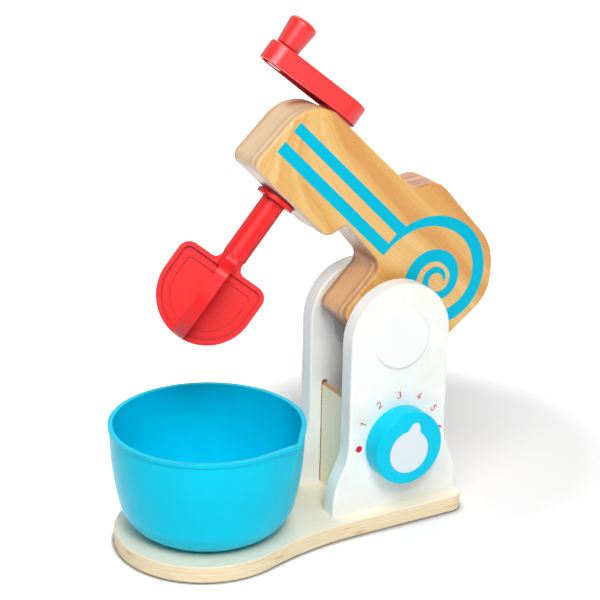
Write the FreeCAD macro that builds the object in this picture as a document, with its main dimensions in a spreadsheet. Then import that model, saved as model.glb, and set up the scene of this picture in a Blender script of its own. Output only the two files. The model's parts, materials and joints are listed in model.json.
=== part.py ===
import FreeCAD, Part
import math
import os
from types import SimpleNamespace

import Sketcher

# Toy stand mixer. Millimetres and degrees. +Z is up, -X points from the column to the bowl and -Y to
# the cheek with the knob. The origin is on the ground, under the head's pivot, midway between the cheeks.
# The head is drawn tipped back by head_tilt, as it stands at rest.

SIZES = {
    # base board: a keyhole outline, with a round end under the bowl
    "board_thickness": 10.5,
    "board_round_radius": 55.5,
    "board_round_reach": 119.5,
    "board_half_width": 41.0,
    "board_neck_radius": 200.0,
    "board_rear_reach": 46.5,
    "board_corner_radius": 9.0,
    "board_edge_rounding": 0.8,
    # cheeks: a round arch on a flared foot
    "cheek_thickness": 12.0,
    "cheek_gap": 37.5,
    "cheek_half_width": 35.25,
    "cheek_foot_half_width": 45.4,
    "flare_foot_height": 18.0,
    "flare_top_height": 58.0,
    "cheek_edge_rounding": 1.5,
    "pivot_height": 122.4,
    # panels let into the cheeks' stopped slots
    "panel_thickness": 3.7,
    "panel_reach": 26.5,
    "panel_height": 68.0,
    "slot_depth": 4.0,
    "slot_clearance": 0.4,
    "slot_headroom": 0.5,
    # head block: its corners, measured forwards or back and up from the pivot with the head down
    "head_thickness": 29.2,
    "head_tilt": 45.0,
    "foot_reach": 150.8,
    "foot_radius": 6.5,
    "head_underside": 14.8,
    "chin_reach": 77.5,
    "chin_radius": 9.5,
    "throat_front_reach": 74.2,
    "throat_front_height": 28.7,
    "throat_front_radius": 2.5,
    "throat_rear_height": 25.3,
    "throat_rear_radius": 8.0,
    "lobe_front": 35.0,
    "lobe_rear": 35.5,
    "lobe_drop": 14.0,
    "lobe_radius": 7.0,
    "nape_setback": 46.5,
    "nape_height": 62.3,
    "nape_radius": 28.0,
    "crown_setback": 23.2,
    "crown_height": 85.7,
    "crown_radius": 36.0,
    "brow_reach": 41.2,
    "brow_height": 89.2,
    "brow_radius": 16.0,
    "neck_reach": 52.2,
    "neck_height": 73.5,
    "neck_radius": 10.0,
    "nose_reach": 149.4,
    "nose_height": 71.7,
    "nose_radius": 25.5,
    "head_edge_rounding": 2.2,
    # pivot: a bolt through both cheeks and a sleeve pressed into the head
    "pivot_bolt_radius": 4.0,
    "pivot_hole_clearance": 0.1,
    "sleeve_radius": 6.0,
    "sleeve_running_clearance": 0.05,
    "press_clearance": 0.02,
    "disc_radius": 21.8,
    "disc_running_clearance": 0.05,
    "hex_across_flats": 13.0,
    "bolt_head_height": 5.3,
    "pivot_nut_height": 6.5,
    "bolt_spare_thread": 0.3,
    "recess_radius": 12.0,
    "recess_depth": 7.5,
    "cap_radius": 19.3,
    "cap_proud": 1.9,
    "cap_bevel": 0.9,
    "cap_spigot_length": 5.0,
    "cap_spigot_wall": 1.6,
    "cap_spigot_clearance": 0.05,
    # stop pin: fixed in the head, it runs in a blind curved groove in the near cheek
    "stop_pin_radius": 2.0,
    "stop_pin_reach": 26.0,
    "stop_pin_angle": 11.0,
    "stop_pin_hold": 9.0,
    "stop_groove_depth": 5.0,
    "stop_clearance": 0.3,
    "stop_floor_clearance": 1.0,
    # spindle: it leans forward a little from square with the head
    "spindle_reach": 114.5,
    "spindle_lean": 4.3,
    "spot_face_least_depth": 0.15,
    "spot_face_run_in": 6.0,
    "tube_radius": 6.0,
    "tube_bore_radius": 2.4,
    "tube_hole_clearance": 0.6,
    "square_side": 8.0,
    "square_clearance": 0.1,
    "upper_square_length": 6.0,
    "lower_square_length": 7.0,
    "blind_end_clearance": 0.3,
    "bush_radius": 8.6,
    "bush_length": 16.0,
    "bush_running_clearance": 0.05,
    "bush_end_clearance": 0.3,
    "upper_flange_radius": 11.5,
    "upper_flange_thickness": 2.28,
    "upper_seat_radius": 12.2,
    "lower_flange_radius": 11.3,
    "lower_flange_thickness": 1.9,
    "lower_seat_radius": 13.0,
    "spindle_bolt_radius": 2.0,
    "spindle_bolt_head_radius": 3.6,
    "spindle_bolt_head_height": 2.6,
    "spindle_bolt_grip": 18.0,
    "thread_clearance": 0.05,
    # crank: a hollow moulded arm that turns on top of the head
    "crank_turn": 18.0,
    "crank_length": 47.4,
    "crank_hub_radius": 12.7,
    "crank_tip_radius": 10.3,
    "crank_height": 12.8,
    "crank_wall": 1.9,
    "crank_roof": 2.2,
    "crank_edge_rounding": 1.6,
    "hub_boss_radius": 8.4,
    "tip_boss_radius": 4.6,
    "rib_thickness": 1.6,
    "rib_setback": 2.6,
    "crank_bolt_hole_clearance": 0.3,
    "crank_recess_radius": 5.2,
    "crank_web": 1.6,
    "crank_plug_thickness": 1.8,
    "plug_clearance": 0.05,
    # grip: it turns on the shoulder of its screw
    "grip_base_radius": 7.5,
    "grip_top_radius": 9.4,
    "grip_height": 18.6,
    "grip_gap": 0.3,
    "grip_top_rounding": 3.0,
    "grip_base_rounding": 0.8,
    "grip_screw_shoulder_radius": 3.0,
    "grip_running_clearance": 0.05,
    "grip_recess_radius": 5.2,
    "grip_recess_depth": 6.2,
    "grip_screw_head_radius": 4.6,
    "grip_screw_head_height": 2.6,
    "grip_screw_head_clearance": 0.3,
    "grip_screw_thread_radius": 1.8,
    "grip_screw_thread_length": 8.5,
    "grip_plug_thickness": 1.8,
    # beater: two crossed paddles with a thick rim round a thin web
    "beater_turn": 33.5,
    "collar_radius": 12.34,
    "collar_thickness": 2.6,
    "beater_shaft_radius": 7.64,
    "beater_neck_radius": 7.2,
    "beater_neck_level": 29.0,
    "shoulder_level": 35.3,
    "shoulder_fillet": 4.5,
    "paddle_half_width": 29.85,
    "paddle_corner_radius": 7.5,
    "paddle_round_level": 56.4,
    "paddle_rim_width": 3.0,
    "paddle_rim_thickness": 7.6,
    "paddle_step_inset": 8.0,
    "paddle_step_radius": 2.5,
    "paddle_step_thickness": 3.8,
    "paddle_web_thickness": 2.5,
    # control knob
    "knob_height": 54.0,
    "knob_radius": 23.9,
    "knob_depth": 14.1,
    "knob_gap": 0.3,
    "knob_front_rounding": 1.6,
    "knob_back_rounding": 0.8,
    "knob_hollow_radius": 20.6,
    "knob_hollow_depth": 8.6,
    "knob_boss_radius": 7.0,
    "pointer_angle": 75.0,
    "pointer_disc_radius": 13.85,
    "pointer_setback": 2.1,
    "pointer_reach": 19.6,
    "pointer_half_angle": 23.4,
    "pointer_tip_radius": 2.9,
    "pointer_recess_depth": 1.8,
    "pointer_proud": 0.3,
    "pointer_clearance": 0.1,
    "knob_bolt_radius": 2.0,
    "knob_bolt_across_flats": 7.0,
    "knob_bolt_head_height": 2.4,
    "knob_washer_radius": 6.0,
    "knob_washer_thickness": 1.0,
    "knob_nut_height": 4.6,
    # mixing bowl
    "bowl_reach": 117.5,
    "bowl_rim_radius": 60.0,
    "bowl_height": 68.4,
    "bowl_bead_height": 2.2,
    "bowl_bead_width": 0.8,
    "bowl_wall": 2.2,
    "bowl_wall_radius": 205.0,
    "bowl_top_draft": 0.5,
    "bowl_foot_draft": 13.0,
    "lip_azimuth": 57.5,
    "lip_half_angle": 22.5,
    "lip_nose_radius": 5.4,
    "lip_depth": 24.0,
    # countersunk screws, up through the board into the cheeks
    "screw_reach": 31.0,
    "screw_length": 27.0,
    "screw_radius": 1.9,
    "screw_head_radius": 4.0,
    "screw_head_height": 2.6,
    "screw_point_length": 4.0,
    "screw_point_radius": 0.4,
    "screw_clearance": 0.1,
    "screw_cross_length": 4.4,
    "screw_cross_width": 1.0,
    "screw_cross_depth": 1.5,
}

SHEET = "Sizes"


class Size:
    """A number together with the expression that keeps it tied to the sheet."""

    def __init__(self, value, text):
        self.value = float(value)
        self.text = text

    def __add__(self, other):
        other = as_size(other)
        return Size(self.value + other.value, f"({self.text} + {other.text})")

    def __sub__(self, other):
        other = as_size(other)
        return Size(self.value - other.value, f"({self.text} - {other.text})")

    def __mul__(self, other):
        other = as_size(other)
        return Size(self.value * other.value, f"({self.text} * {other.text})")

    def __truediv__(self, other):
        other = as_size(other)
        return Size(self.value / other.value, f"({self.text} / {other.text})")

    def __neg__(self):
        return Size(-self.value, f"(-1 * {self.text})")

    def __radd__(self, other):
        return as_size(other) + self

    def __rsub__(self, other):
        return as_size(other) - self

    def __rmul__(self, other):
        return as_size(other) * self

    def __rtruediv__(self, other):
        return as_size(other) / self


def as_size(number):
    return number if isinstance(number, Size) else Size(number, f"({float(number)!r})")


def root(size):
    return Size(math.sqrt(size.value), f"sqrt({size.text})")


def sine(angle):
    return Size(math.sin(math.radians(angle.value)), f"sin({angle.text})")


def cosine(angle):
    return Size(math.cos(math.radians(angle.value)), f"cos({angle.text})")


def other_leg(longest, leg):
    """The third side of a right-angled triangle."""
    return root(longest * longest - leg * leg)


def start_document():
    document = FreeCAD.newDocument("ToyStandMixer")
    sheet = document.addObject("Spreadsheet::Sheet", SHEET)
    for row, (name, number) in enumerate(SIZES.items(), start=1):
        sheet.set(f"A{row}", name)
        sheet.set(f"B{row}", str(number))
        sheet.setAlias(f"B{row}", name)
    document.recompute()
    return document


doc = start_document()
dim = SimpleNamespace(**{name: Size(number, f"{SHEET}.{name}") for name, number in SIZES.items()})
parts = []


# Bodies, placements and bindings

def bind(item, name, size):
    item.setExpression(name, as_size(size).text)


def place(item, x=0, y=0, z=0, turns=()):
    """Set a placement. Turns are (axis, angle) pairs, and the last one is made first."""
    spin = " * ".join(f"rotation{axis}({as_size(angle).text})" for axis, angle in turns) or "rotationx(0)"
    spot = "; ".join(as_size(number).text for number in (x, y, z))
    item.setExpression("Placement", f"placement(vector({spot}); {spin})")


def new_body(name, x=0, y=0, z=0, turns=()):
    body = doc.addObject("PartDesign::Body", name)
    body.Label = name
    place(body, x, y, z, turns)
    parts.append(body)
    return body


def origin_item(body, role):
    return next(item for item in body.Origin.OriginFeatures if item.Role == role)


# Sketches: each step of an outline arrives at a point, by a straight line or by an arc

def line(x, y, rounding=None):
    """A straight line to a point, whose corner may be rounded."""
    return SimpleNamespace(x=as_size(x), y=as_size(y), rounding=rounding, centre=None, left=True)


def arc(x, y, centre_x, centre_y, left=True):
    """An arc to a point, turning left or right about a centre."""
    centre = (as_size(centre_x), as_size(centre_y))
    return SimpleNamespace(x=as_size(x), y=as_size(y), rounding=None, centre=centre, left=left)


def new_sketch(body, name, plane, offset=0):
    """A sketch on an origin plane, moved along the plane's normal."""
    sketch = body.newObject("Sketcher::SketchObject", name)
    sketch.AttachmentSupport = [(origin_item(body, plane), "")]
    sketch.MapMode = "FlatFace"
    bind(sketch, "AttachmentOffset.Base.z", offset)
    return sketch


def flat(x, y):
    return FreeCAD.Vector(x, y, 0)


def arc_between(start, end, centre, left):
    """Arc geometry, with the numbers that the sketcher gives its start and its end."""
    radius = math.hypot(start[0] - centre[0], start[1] - centre[1])
    first, last = (start, end) if left else (end, start)
    low = math.atan2(first[1] - centre[1], first[0] - centre[0])
    high = math.atan2(last[1] - centre[1], last[0] - centre[0])
    if high <= low:
        high += 2 * math.pi
    circle = Part.Circle(flat(*centre), FreeCAD.Vector(0, 0, 1), radius)
    return Part.ArcOfCircle(circle, low, high), (1, 2) if left else (2, 1)


def round_corner(before, corner, after, radius):
    """Where a rounding leaves and joins the two straight sides, and its centre."""
    def towards(point):
        reach = math.hypot(point[0] - corner[0], point[1] - corner[1])
        return (point[0] - corner[0]) / reach, (point[1] - corner[1]) / reach

    u, v = towards(before), towards(after)
    half = math.acos(u[0] * v[0] + u[1] * v[1]) / 2
    back = radius / math.tan(half)
    middle = (u[0] + v[0], u[1] + v[1])
    out = radius / math.sin(half) / math.hypot(*middle)
    return ((corner[0] + u[0] * back, corner[1] + u[1] * back),
            (corner[0] + v[0] * back, corner[1] + v[1] * back),
            (corner[0] + middle[0] * out, corner[1] + middle[1] * out))


def fix_point(sketch, element, spot, x, y):
    """Tie a point of the sketch to the sheet."""
    for kind, size in (("DistanceX", x), ("DistanceY", y)):
        index = sketch.addConstraint(Sketcher.Constraint(kind, -1, 1, element, spot, size.value))
        bind(sketch, f"Constraints[{index}]", size)


def add_outline(sketch, steps):
    """A closed outline through the steps, fully constrained."""
    count = len(steps)
    spots = [(step.x.value, step.y.value) for step in steps]
    arrive, leave, centres = list(spots), list(spots), [None] * count
    for i, step in enumerate(steps):
        if step.rounding is not None:
            after, radius = spots[(i + 1) % count], step.rounding.value
            arrive[i], leave[i], centres[i] = round_corner(spots[i - 1], spots[i], after, radius)

    sides = []
    for i, step in enumerate(steps):
        if step.centre is None:
            shape, ends = Part.LineSegment(flat(*leave[i - 1]), flat(*arrive[i])), (1, 2)
        else:
            centre = (step.centre[0].value, step.centre[1].value)
            shape, ends = arc_between(leave[i - 1], arrive[i], centre, step.left)
        sides.append((sketch.addGeometry(shape, False), ends))

    for i, step in enumerate(steps):
        side, (begin, end) = sides[i]
        following, (next_begin, _) = sides[(i + 1) % count]
        if step.rounding is None:
            sketch.addConstraint(Sketcher.Constraint("Coincident", side, end, following, next_begin))
            fix_point(sketch, side, end, step.x, step.y)
        else:
            u, v, centre = arrive[i], leave[i], centres[i]
            turn = (u[0] - centre[0]) * (v[1] - centre[1]) - (u[1] - centre[1]) * (v[0] - centre[0])
            shape, (enter, exit_) = arc_between(u, v, centre, turn > 0)
            corner = sketch.addGeometry(shape, False)
            point = sketch.addGeometry(Part.Point(flat(*spots[i])), True)
            sketch.addConstraint([Sketcher.Constraint("Tangent", side, end, corner, enter),
                                  Sketcher.Constraint("Tangent", corner, exit_, following, next_begin),
                                  Sketcher.Constraint("PointOnObject", point, 1, side),
                                  Sketcher.Constraint("PointOnObject", point, 1, following)])
            fix_point(sketch, point, 1, step.x, step.y)
            index = sketch.addConstraint(Sketcher.Constraint("Radius", corner, step.rounding.value))
            bind(sketch, f"Constraints[{index}]", step.rounding)
        if step.centre is not None:
            across = abs(arrive[i][1] - leave[i - 1][1]) > abs(arrive[i][0] - leave[i - 1][0])
            kind, size = ("DistanceX", step.centre[0]) if across else ("DistanceY", step.centre[1])
            index = sketch.addConstraint(Sketcher.Constraint(kind, -1, 1, side, 3, size.value))
            bind(sketch, f"Constraints[{index}]", size)


def add_circle(sketch, x, y, radius):
    x, y, radius = as_size(x), as_size(y), as_size(radius)
    circle = Part.Circle(flat(x.value, y.value), FreeCAD.Vector(0, 0, 1), radius.value)
    ring = sketch.addGeometry(circle, False)
    fix_point(sketch, ring, 3, x, y)
    index = sketch.addConstraint(Sketcher.Constraint("Radius", ring, radius.value))
    bind(sketch, f"Constraints[{index}]", radius)


def outline_sketch(body, name, plane, offset, *outlines):
    sketch = new_sketch(body, name, plane, offset)
    for steps in outlines:
        add_outline(sketch, steps)
    return sketch


def slot_outline(x_low, x_high, y_low, y_high):
    """An upright slot, square below and half round above."""
    middle, half = (x_low + x_high) / 2, (x_high - x_low) / 2
    return [line(x_low, y_low), line(x_high, y_low), line(x_high, y_high),
            arc(middle, y_high + half, middle, y_high), arc(x_low, y_high, middle, y_high)]


def ring_profile(inner, outer, low, high):
    """The section of a plain ring, for a revolution."""
    return [line(inner, low), line(outer, low), line(outer, high), line(inner, high)]


def box_outline(x_low, x_high, y_low, y_high):
    return [line(x_low, y_low), line(x_high, y_low), line(x_high, y_high), line(x_low, y_high)]


# Features

def pad(body, name, sketch, length, both_ways=False, reverse=False):
    feature = body.newObject("PartDesign::Pad", name)
    feature.Profile = sketch
    feature.SideType = "Symmetric" if both_ways else "One side"
    feature.Reversed = reverse
    bind(feature, "Length", length)
    return feature


def pocket(body, name, sketch, depth, reverse=False):
    """Cut from the sketch against its normal, or along it where reverse is set."""
    doc.recompute()
    before = body.Shape.Volume
    feature = body.newObject("PartDesign::Pocket", name)
    feature.Profile = sketch
    feature.Type = "Length"
    feature.Reversed = reverse
    bind(feature, "Length", depth)
    doc.recompute()
    if not body.Shape.Volume < before - 0.01:
        raise RuntimeError(f"{body.Label}: {name} cuts nothing")
    return feature


def revolve(body, name, profile):
    """Turn a profile, drawn as radius and height, about the body's Z axis."""
    sketch = outline_sketch(body, f"{name}_profile", "XZ_Plane", 0, profile)
    feature = body.newObject("PartDesign::Revolution", name)
    feature.Profile = sketch
    feature.ReferenceAxis = (sketch, ["V_Axis"])
    feature.Angle = 360
    return feature


def groove(body, name, profile):
    """Cut away what a profile sweeps when it turns about the body's Z axis."""
    doc.recompute()
    before = body.Shape.Volume
    sketch = outline_sketch(body, f"{name}_profile", "XZ_Plane", 0, profile)
    feature = body.newObject("PartDesign::Groove", name)
    feature.Profile = sketch
    feature.ReferenceAxis = (sketch, ["V_Axis"])
    feature.Angle = 360
    doc.recompute()
    if not body.Shape.Volume < before - 0.01:
        raise RuntimeError(f"{body.Label}: {name} cuts nothing")
    return feature


def cylinder(body, name, radius, height, x=0, y=0, z=0, turns=(), cut=False):
    kind = "Subtractive" if cut else "Additive"
    feature = body.newObject(f"PartDesign::{kind}Cylinder", name)
    bind(feature, "Radius", radius)
    bind(feature, "Height", height)
    place(feature, x, y, z, turns)
    return feature


def cone(body, name, low_radius, high_radius, height, x=0, y=0, z=0, cut=False):
    kind = "Subtractive" if cut else "Additive"
    feature = body.newObject(f"PartDesign::{kind}Cone", name)
    bind(feature, "Radius1", low_radius)
    bind(feature, "Radius2", high_radius)
    bind(feature, "Height", height)
    place(feature, x, y, z)
    return feature


def hexagon(body, name, across_flats, height, z=0, cut=False):
    kind = "Subtractive" if cut else "Additive"
    feature = body.newObject(f"PartDesign::{kind}Prism", name)
    sides = 6
    feature.Polygon = sides
    bind(feature, "Circumradius", across_flats / cosine(as_size(180 / sides)) / 2)
    bind(feature, "Height", height)
    place(feature, z=z)
    return feature


def round_edges(body, name, radius, wanted):
    """Round the edges of the body so far that the test picks."""
    doc.recompute()
    base = body.Tip
    names = [f"Edge{i}" for i, edge in enumerate(base.Shape.Edges, start=1) if wanted(edge)]
    feature = body.newObject("PartDesign::Fillet", name)
    feature.Base = (base, names)
    bind(feature, "Radius", radius)
    return feature


def edge_lies_at(edge, axis, *levels):
    """Whether a whole edge lies in one of some planes square to an axis."""
    box = edge.BoundBox
    low, high = getattr(box, f"{axis}Min"), getattr(box, f"{axis}Max")
    return any(abs(low - level.value) < 1e-4 and abs(high - level.value) < 1e-4 for level in levels)


def mirror_twice(body, name, originals):
    """Repeat features on the other three sides of the centre planes."""
    repeat = body.newObject("PartDesign::MultiTransform", name)
    mirrors = []
    for plane in ("YZ_Plane", "XZ_Plane"):
        mirror = body.newObject("PartDesign::Mirrored", f"{name}_{plane[:2]}")
        mirror.MirrorPlane = (origin_item(body, plane), [""])
        mirrors.append(mirror)
    repeat.Originals = originals
    repeat.Transformations = mirrors
    body.Tip = repeat
    return repeat


# Levels and frames that several pieces share

cheek_inner = dim.cheek_gap / 2
cheek_outer = cheek_inner + dim.cheek_thickness
cheek_middle = cheek_inner + dim.cheek_thickness / 2
slot_outer = dim.panel_reach + dim.slot_clearance
slot_inner = dim.panel_reach - dim.panel_thickness - dim.slot_clearance
panel_top = dim.board_thickness + dim.panel_height

head_turns = [("y", dim.head_tilt)]
spindle_turns = [("y", dim.head_tilt - dim.spindle_lean)]
crank_turns = spindle_turns + [("z", -dim.crank_turn)]
beater_turns = spindle_turns + [("z", -dim.beater_turn)]
spindle_x = -dim.spindle_reach * cosine(dim.head_tilt)
spindle_z = dim.pivot_height + dim.spindle_reach * sine(dim.head_tilt)

grip_x = spindle_x - dim.crank_length * cosine(dim.crank_turn) * cosine(dim.head_tilt - dim.spindle_lean)
grip_y = dim.crank_length * sine(dim.crank_turn)
grip_z = spindle_z + dim.crank_length * cosine(dim.crank_turn) * sine(dim.head_tilt - dim.spindle_lean)

lean_sine = sine(dim.spindle_lean)
lean_cosine = cosine(dim.spindle_lean)
# The arm's top falls a little from the neck to the nose.
arm_fall = (dim.neck_height - dim.nose_height) / (dim.nose_reach - dim.neck_reach)
arm_top = dim.neck_height - arm_fall * (dim.spindle_reach - dim.neck_reach)
# Each spot face is square to the spindle and cuts the sloping wood all round.
lower_seat = ((dim.head_underside + dim.lower_seat_radius * lean_sine) / lean_cosine
              + dim.spot_face_least_depth)
upper_seat = ((arm_top - dim.upper_seat_radius * (lean_sine - arm_fall * lean_cosine))
              / (lean_cosine + arm_fall * lean_sine) - dim.spot_face_least_depth)
collar_top = lower_seat - dim.lower_flange_thickness - dim.bush_end_clearance
crank_base = upper_seat + dim.upper_flange_thickness + dim.bush_end_clearance
crank_top = crank_base + dim.crank_height
grip_base = crank_top + dim.grip_gap
socket_side = dim.square_side + 2 * dim.square_clearance
upper_socket_top = crank_base + dim.upper_square_length + dim.blind_end_clearance
crank_recess_floor = upper_socket_top + dim.crank_web
lower_socket_floor = collar_top - dim.lower_square_length - dim.blind_end_clearance

pin_low_angle = dim.stop_pin_angle - dim.head_tilt
pin_x = dim.stop_pin_reach * cosine(dim.stop_pin_angle)
pin_z = dim.stop_pin_reach * sine(dim.stop_pin_angle)


# Stand

def base_board():
    body = new_body("base_board")
    round_x = -dim.board_round_reach
    reach = dim.board_round_radius + dim.board_neck_radius
    rise = dim.board_half_width + dim.board_neck_radius
    run = other_leg(reach, rise)
    neck_x = round_x + run
    touch_x = round_x + run * dim.board_round_radius / reach
    touch_y = rise * dim.board_round_radius / reach
    corner = dim.board_corner_radius
    keyhole = [line(dim.board_rear_reach, -dim.board_half_width, corner),
               line(dim.board_rear_reach, dim.board_half_width, corner),
               line(neck_x, dim.board_half_width),
               arc(touch_x, touch_y, neck_x, rise, left=False),
               arc(touch_x, -touch_y, round_x, 0),
               arc(neck_x, -dim.board_half_width, neck_x, -rise, left=False)]
    pad(body, "board", outline_sketch(body, "keyhole", "XY_Plane", 0, keyhole), dim.board_thickness)
    round_edges(body, "eased_edges", dim.board_edge_rounding,
                lambda edge: edge_lies_at(edge, "Z", dim.board_thickness, as_size(0)))
    hole = cylinder(body, "screw_hole", dim.screw_radius + dim.screw_clearance, dim.board_thickness,
                    dim.screw_reach, cheek_middle, cut=True)
    sink = cone(body, "countersink", dim.screw_head_radius + dim.screw_clearance,
                dim.screw_radius + dim.screw_clearance, dim.screw_head_height,
                dim.screw_reach, cheek_middle, cut=True)
    mirror_twice(body, "four_holes", [hole, sink])


def cheek_outline():
    foot, half = dim.cheek_foot_half_width, dim.cheek_half_width
    low, high = dim.flare_foot_height, dim.flare_top_height
    run, rise = (foot - half) / 2, (high - low) / 2
    radius = (run * run + rise * rise) / (2 * run)
    waist_x, waist_z = (foot + half) / 2, (low + high) / 2
    crown = dim.pivot_height + half
    return [line(-foot, dim.board_thickness), line(foot, dim.board_thickness), line(foot, low),
            arc(waist_x, waist_z, foot - radius, low),
            arc(half, high, half + radius, high, left=False),
            line(half, dim.pivot_height),
            arc(0, crown, 0, dim.pivot_height),
            arc(-half, dim.pivot_height, 0, dim.pivot_height),
            line(-half, high),
            arc(-waist_x, waist_z, -half - radius, high, left=False),
            arc(-foot, low, radius - foot, low)]


def stop_groove_outline():
    """The pin's path in the cheek, widened by its clearance."""
    reach, half = dim.stop_pin_reach, dim.stop_pin_radius + dim.stop_clearance
    centre_z = dim.pivot_height

    def at(radius, angle):
        return radius * cosine(angle), centre_z + radius * sine(angle)

    low, high = pin_low_angle, dim.stop_pin_angle
    return [arc(*at(reach + half, low), *at(reach, low)),
            arc(*at(reach + half, high), 0, centre_z),
            arc(*at(reach - half, high), *at(reach, high)),
            arc(*at(reach - half, low), 0, centre_z, left=False)]


def cheek(name, near):
    """A wooden cheek. Only the near one carries the knob and the stop groove."""
    body = new_body(name)
    # A sketch on the XZ plane faces the near side, so levels count towards -Y.
    inner = cheek_inner if near else -cheek_inner
    outer = cheek_outer if near else -cheek_outer
    face = cheek_inner if near else -cheek_outer
    pad(body, "board", outline_sketch(body, "arch", "XZ_Plane", face, cheek_outline()), dim.cheek_thickness)
    round_edges(body, "rounded_edges", dim.cheek_edge_rounding,
                lambda edge: (edge_lies_at(edge, "Y", -cheek_inner, -cheek_outer, cheek_inner, cheek_outer)
                              and not edge_lies_at(edge, "Z", dim.board_thickness)))
    for side, sign in (("front", -1), ("rear", 1)):
        low, high = sorted((sign * slot_inner, sign * slot_outer), key=lambda size: size.value)
        slot = slot_outline(low, high, dim.board_thickness, panel_top + dim.slot_headroom)
        sketch = outline_sketch(body, f"{side}_slot_outline", "XZ_Plane", inner, slot)
        pocket(body, f"{side}_slot", sketch, dim.slot_depth, reverse=near)
    outwards = [("x", 90 if near else -90)]
    cylinder(body, "bolt_hole", dim.pivot_bolt_radius + dim.pivot_hole_clearance, dim.cheek_thickness,
             0, -inner, dim.pivot_height, outwards, cut=True)
    cylinder(body, "bolt_recess", dim.recess_radius, dim.recess_depth,
             0, dim.recess_depth * (1 if near else -1) - outer, dim.pivot_height, outwards, cut=True)
    if near:
        cylinder(body, "knob_hole", dim.knob_bolt_radius + dim.pivot_hole_clearance, dim.cheek_thickness,
                 0, -inner, dim.knob_height, outwards, cut=True)
        sketch = outline_sketch(body, "stop_path", "XZ_Plane", inner, stop_groove_outline())
        pocket(body, "stop_groove", sketch, dim.stop_groove_depth, reverse=True)
    middle = -cheek_middle if near else cheek_middle
    for side, sign in (("front", -1), ("rear", 1)):
        cylinder(body, f"{side}_pilot_hole", dim.screw_radius + dim.thread_clearance,
                 dim.screw_length - dim.board_thickness + dim.blind_end_clearance,
                 sign * dim.screw_reach, middle, dim.board_thickness, cut=True)


def panel(name, rear):
    """A thin panel that closes the column between the cheeks."""
    outer = dim.panel_reach if rear else dim.panel_thickness - dim.panel_reach
    body = new_body(name, outer - dim.panel_thickness, 0, dim.board_thickness)
    half = cheek_inner + dim.slot_depth - dim.slot_clearance
    face = box_outline(-half, half, 0, dim.panel_height)
    pad(body, "sheet", outline_sketch(body, "face", "YZ_Plane", 0, face), dim.panel_thickness)


def base_screws():
    body = new_body("base_screws")
    body.AllowCompound = True
    x, y = dim.screw_reach, cheek_middle
    straight = dim.screw_length - dim.screw_point_length
    pieces = [cylinder(body, "shank", dim.screw_radius, straight, x, y),
              cone(body, "head", dim.screw_head_radius, dim.screw_radius, dim.screw_head_height, x, y),
              cone(body, "point", dim.screw_radius, dim.screw_point_radius, dim.screw_point_length,
                   x, y, straight)]
    for name, length, width in (("recess", dim.screw_cross_length, dim.screw_cross_width),
                                ("cross_recess", dim.screw_cross_width, dim.screw_cross_length)):
        cut = body.newObject("PartDesign::SubtractiveBox", name)
        bind(cut, "Length", length)
        bind(cut, "Width", width)
        bind(cut, "Height", dim.screw_cross_depth)
        place(cut, x - length / 2, y - width / 2)
        pieces.append(cut)
    mirror_twice(body, "four_screws", pieces)


# Head

def head_outline():
    """The block's corners, from the nose's foot back along the underside and forward again over the top."""
    return [line(-dim.foot_reach, dim.head_underside, dim.foot_radius),
            line(-dim.chin_reach, dim.head_underside, dim.chin_radius),
            line(-dim.throat_front_reach, dim.throat_front_height, dim.throat_front_radius),
            line(-dim.lobe_front, dim.throat_rear_height, dim.throat_rear_radius),
            line(-dim.lobe_front, -dim.lobe_drop, dim.lobe_radius),
            line(dim.lobe_rear, -dim.lobe_drop, dim.lobe_radius),
            line(dim.nape_setback, dim.nape_height, dim.nape_radius),
            line(dim.crown_setback, dim.crown_height, dim.crown_radius),
            line(-dim.brow_reach, dim.brow_height, dim.brow_radius),
            line(-dim.neck_reach, dim.neck_height, dim.neck_radius),
            line(-dim.nose_reach, dim.nose_height, dim.nose_radius)]


def spindle_bore(body, name, radius, low, high):
    """A bore along the leaning spindle, between two levels on it."""
    x = -dim.spindle_reach - low * lean_sine
    cylinder(body, name, radius, high - low, x, 0, low * lean_cosine, [("y", -dim.spindle_lean)], cut=True)


def head_block():
    body = new_body("head_block", 0, 0, dim.pivot_height, head_turns)
    outline = outline_sketch(body, "outline", "XZ_Plane", 0, head_outline())
    pad(body, "block", outline, dim.head_thickness, both_ways=True)
    half = dim.head_thickness / 2
    round_edges(body, "rounded_edges", dim.head_edge_rounding,
                lambda edge: edge_lies_at(edge, "Y", half, -half))
    cylinder(body, "sleeve_bore", dim.sleeve_radius + dim.press_clearance, dim.head_thickness,
             0, half, 0, [("x", 90)], cut=True)
    cylinder(body, "pin_hole", dim.stop_pin_radius + dim.press_clearance, dim.stop_pin_hold,
             pin_x, dim.stop_pin_hold - half, pin_z, [("x", 90)], cut=True)
    barrel = dim.bush_radius + dim.press_clearance
    # The spot faces start well clear of the wood, above and below it.
    run_in = dim.spot_face_run_in
    spindle_bore(body, "tube_hole", dim.tube_radius + dim.tube_hole_clearance, lower_seat, upper_seat)
    spindle_bore(body, "lower_barrel_hole", barrel, lower_seat, lower_seat + dim.bush_length)
    spindle_bore(body, "upper_barrel_hole", barrel, upper_seat - dim.bush_length, upper_seat)
    spindle_bore(body, "lower_spot_face", dim.lower_seat_radius, lower_seat - run_in, lower_seat)
    spindle_bore(body, "upper_spot_face", dim.upper_seat_radius, upper_seat, upper_seat + run_in)


def pivot_sleeve():
    body = new_body("pivot_sleeve", 0, 0, dim.pivot_height, head_turns + [("x", 90)])
    half = dim.head_thickness / 2
    bore = dim.pivot_bolt_radius + dim.sleeve_running_clearance
    revolve(body, "sleeve", ring_profile(bore, dim.sleeve_radius, -half, half))


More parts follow.
